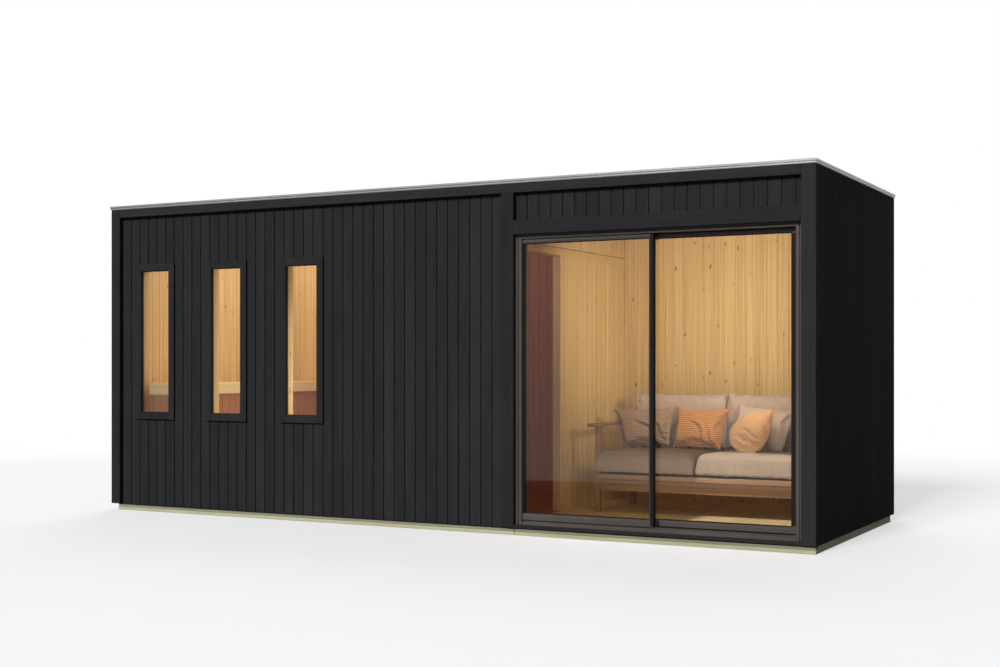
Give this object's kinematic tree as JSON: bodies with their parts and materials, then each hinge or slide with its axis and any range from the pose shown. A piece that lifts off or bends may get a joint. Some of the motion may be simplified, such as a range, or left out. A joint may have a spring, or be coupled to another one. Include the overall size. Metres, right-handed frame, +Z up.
{
  "type": "sauna cabin",
  "caption": "Flat-roofed garden sauna cabin in black vertical boards, with slim windows, a sliding glass door, a lounge with a sofa and a sauna bench.",
  "frame": {"origin": "centre of the footprint at ground level, under the treated timber base", "axes": "+Z up, +X along the cabin towards the lounge end, -Y out of the front with the windows and the sliding door"},
  "size_m": [5.916, 2.216, 2.5],
  "materials": {
    "black_timber": "matt black stained vertical boards",
    "treated_timber": "green-brown pressure treated softwood",
    "floor_boards": "clear sealed pine floor boards",
    "pine_boards": "knotty pine lining boards",
    "dark_boards": "heat-treated red-brown boards",
    "bench_wood": "pale planed bench wood",
    "oak": "greyed oiled oak",
    "clear_glass": "clear double glazing",
    "bronze_aluminium": "satin bronze-brown powder coat",
    "roof_metal": "light grey folded sheet",
    "roof_felt": "dark grey roofing membrane",
    "taupe_fabric": "woven taupe upholstery",
    "taupe_ribbed_fabric": "taupe fabric with fine ribs",
    "orange_ribbed_fabric": "orange fabric with fine ribs",
    "peach_ribbed_fabric": "peach fabric with fine ribs"
  },
  "bodies": {
    "cabin": {"base_frame": "treated_timber", "floor_deck": "floor_boards", "front_wall_left": "pine_boards", "front_wall_over_door": "pine_boards", "left_end_wall": "pine_boards", "right_end_wall": "pine_boards", "back_wall": "pine_boards", "front_cladding_left": "black_timber", "front_cladding_over_door": "black_timber", "left_end_cladding": "black_timber", "right_end_cladding": "black_timber", "back_cladding": "black_timber", "corner_trim_left": "black_timber", "corner_trim_right": "black_timber", "mid_trim": "black_timber", "fascia_board": "black_timber", "door_head_trim": "black_timber", "door_sill_board": "black_timber", "window_casing_1": "black_timber", "window_casing_2": "black_timber", "window_casing_3": "black_timber", "window_reveal_1": "pine_boards", "window_reveal_2": "pine_boards", "window_reveal_3": "pine_boards", "window_glass_1": "clear_glass", "window_glass_2": "clear_glass", "window_glass_3": "clear_glass", "roof_deck": "pine_boards", "roof_covering": "roof_felt", "roof_edge_trim": "roof_metal", "ceiling_boards": "pine_boards", "partition_wall": "pine_boards", "partition_rail": "pine_boards", "partition_top_panel": "pine_boards", "dark_lining": "dark_boards", "door_frame": "bronze_aluminium", "fixed_leaf_frame": "bronze_aluminium", "fixed_leaf_glass": "clear_glass", "bench_top": "bench_wood", "bench_frame": "bench_wood", "bench_skirt": "dark_boards", "sofa_seat_frame": "oak", "sofa_left_side": "oak", "sofa_right_side": "oak", "seat_cushion_left": "taupe_fabric", "seat_cushion_right": "taupe_fabric", "back_cushion_left": "taupe_fabric", "back_cushion_right": "taupe_fabric", "pillow_taupe_ribbed": "taupe_ribbed_fabric", "pillow_orange": "orange_ribbed_fabric", "pillow_peach": "peach_ribbed_fabric", "pillow_taupe_plain": "taupe_fabric"},
    "sliding_leaf": {"sliding_leaf_frame": "bronze_aluminium", "sliding_leaf_glass": "clear_glass"}
  },
  "joints": [
    {"name": "door_slide", "type": "slide", "parent": "cabin", "child": "sliding_leaf", "axis": [-1, 0, 0], "range_m": [0, 0.92]}
  ]
}
